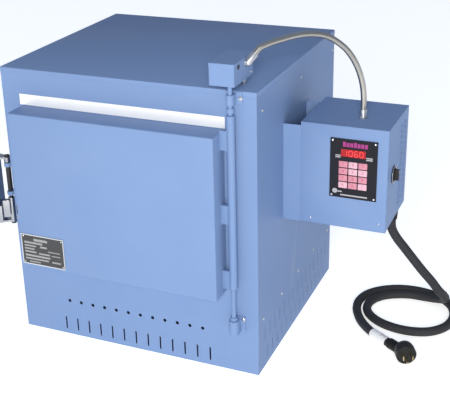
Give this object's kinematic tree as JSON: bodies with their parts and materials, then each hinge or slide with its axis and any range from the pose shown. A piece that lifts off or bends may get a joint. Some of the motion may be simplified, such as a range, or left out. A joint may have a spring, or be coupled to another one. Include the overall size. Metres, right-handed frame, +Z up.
{
  "type": "pottery kiln",
  "caption": "Front-loading electric pottery kiln with a hinged brick-lined door, side latch, door switch, digital control box and power cord.",
  "frame": {"origin": "centre of the case's base, on the ground", "axes": "+X to the right and +Y to the back as seen from the door, +Z up"},
  "size_m": [1.1996, 0.7032, 0.8875],
  "materials": {
    "blue_paint": "semi-gloss powder coat",
    "bare_steel": "zinc-plated and brushed",
    "deck_steel": "galvanised",
    "firebrick": "porous, unglazed",
    "fibre": "ceramic fibre, matte",
    "element_wire": "oxidised heating alloy",
    "probe_ceramic": "matte",
    "bright_strip": "bright stainless",
    "black_plastic": "moulded",
    "face_black": "glossy membrane",
    "display_red": "tinted display window",
    "key_pink": "satin",
    "board_green": "solder mask",
    "relay_grey": "moulded",
    "plunger_red": "moulded",
    "conduit_steel": "galvanised strip",
    "cast_zinc": "die-cast",
    "cord_rubber": "matte",
    "tag_white": "wrapped sleeve",
    "plate_black": "printed plate",
    "latch_black": "blackened",
    "handle_steel": "polished strap"
  },
  "bodies": {
    "case": {"base_tray": "deck_steel", "side_panel_left": "blue_paint", "side_panel_right": "blue_paint", "front_panel": "blue_paint", "back_panel": "blue_paint", "top_panel": "blue_paint", "base_deck": "deck_steel", "insulation": "fibre", "brick_floor": "firebrick", "brick_roof": "firebrick", "brick_sides": "firebrick", "brick_back": "firebrick", "heating_elements": "element_wire", "thermocouple": "probe_ceramic", "heat_shield": "bright_strip", "hinge_bearings": "blue_paint", "switch_box": "blue_paint", "switch_box_cover": "blue_paint", "limit_switch": "black_plastic", "latch_bracket": "blue_paint", "latch_pin": "latch_black", "box_standoffs": "blue_paint", "control_box": "blue_paint", "control_front": "blue_paint", "controller_plate": "face_black", "controller_board": "board_green", "display_window": "display_red", "power_relays": "relay_grey", "power_switch": "black_plastic", "conduit": "conduit_steel", "conduit_fittings": "cast_zinc", "cord_gland": "black_plastic", "power_cord": "cord_rubber", "plug": "black_plastic", "cord_tag": "tag_white", "fasteners": "bare_steel"},
    "door": {"door_shell": "blue_paint", "door_bricks": "firebrick", "door_gasket": "fibre", "nameplate": "plate_black", "hinge_tabs": "blue_paint", "hinge_barrel": "blue_paint", "hinge_rod": "blue_paint", "switch_cam": "bare_steel", "latch_strike": "handle_steel"},
    "latch": {"latch_handle": "handle_steel"},
    "switch_plunger": {"switch_plunger": "plunger_red"},
    "power_knob": {"power_knob": "black_plastic"},
    "key_1": {"key_1": "key_pink"},
    "key_2": {"key_2": "key_pink"},
    "key_3": {"key_3": "key_pink"},
    "key_4": {"key_4": "key_pink"},
    "key_5": {"key_5": "key_pink"},
    "key_6": {"key_6": "key_pink"},
    "key_7": {"key_7": "key_pink"},
    "key_8": {"key_8": "key_pink"},
    "key_9": {"key_9": "key_pink"},
    "key_10": {"key_10": "key_pink"},
    "key_11": {"key_11": "key_pink"},
    "key_12": {"key_12": "key_pink"}
  },
  "joints": [
    {"name": "door_swing", "type": "hinge", "parent": "case", "child": "door", "pos_m": [0.297, -0.336, 0.4], "axis": [0, 0, 1], "range_deg": [0, 120]},
    {"name": "latch_turn", "type": "hinge", "parent": "case", "child": "latch", "pos_m": [-0.376, -0.3, 0.42], "axis": [0, 0, 1], "range_deg": [0, 60]},
    {"name": "plunger_slide", "type": "slide", "parent": "case", "child": "switch_plunger", "axis": [0, -1, 0], "range_m": [0, 0.005]},
    {"name": "knob_turn", "type": "hinge", "parent": "case", "child": "power_knob", "pos_m": [0.63, -0.064, 0.508], "axis": [1, 0, 0], "range_deg": [0, 90]},
    {"name": "key_1_press", "type": "slide", "parent": "case", "child": "key_1", "axis": [0, 1, 0], "range_m": [0, 0.0005], "stiffness_N_per_m": 600},
    {"name": "key_2_press", "type": "slide", "parent": "case", "child": "key_2", "axis": [0, 1, 0], "range_m": [0, 0.0005], "stiffness_N_per_m": 600},
    {"name": "key_3_press", "type": "slide", "parent": "case", "child": "key_3", "axis": [0, 1, 0], "range_m": [0, 0.0005], "stiffness_N_per_m": 600},
    {"name": "key_4_press", "type": "slide", "parent": "case", "child": "key_4", "axis": [0, 1, 0], "range_m": [0, 0.0005], "stiffness_N_per_m": 600},
    {"name": "key_5_press", "type": "slide", "parent": "case", "child": "key_5", "axis": [0, 1, 0], "range_m": [0, 0.0005], "stiffness_N_per_m": 600},
    {"name": "key_6_press", "type": "slide", "parent": "case", "child": "key_6", "axis": [0, 1, 0], "range_m": [0, 0.0005], "stiffness_N_per_m": 600},
    {"name": "key_7_press", "type": "slide", "parent": "case", "child": "key_7", "axis": [0, 1, 0], "range_m": [0, 0.0005], "stiffness_N_per_m": 600},
    {"name": "key_8_press", "type": "slide", "parent": "case", "child": "key_8", "axis": [0, 1, 0], "range_m": [0, 0.0005], "stiffness_N_per_m": 600},
    {"name": "key_9_press", "type": "slide", "parent": "case", "child": "key_9", "axis": [0, 1, 0], "range_m": [0, 0.0005], "stiffness_N_per_m": 600},
    {"name": "key_10_press", "type": "slide", "parent": "case", "child": "key_10", "axis": [0, 1, 0], "range_m": [0, 0.0005], "stiffness_N_per_m": 600},
    {"name": "key_11_press", "type": "slide", "parent": "case", "child": "key_11", "axis": [0, 1, 0], "range_m": [0, 0.0005], "stiffness_N_per_m": 600},
    {"name": "key_12_press", "type": "slide", "parent": "case", "child": "key_12", "axis": [0, 1, 0], "range_m": [0, 0.0005], "stiffness_N_per_m": 600}
  ],
  "couplings": [
    {"joint": "plunger_slide", "follows": "door_swing", "m_per_rad": 0.0023873}
  ]
}
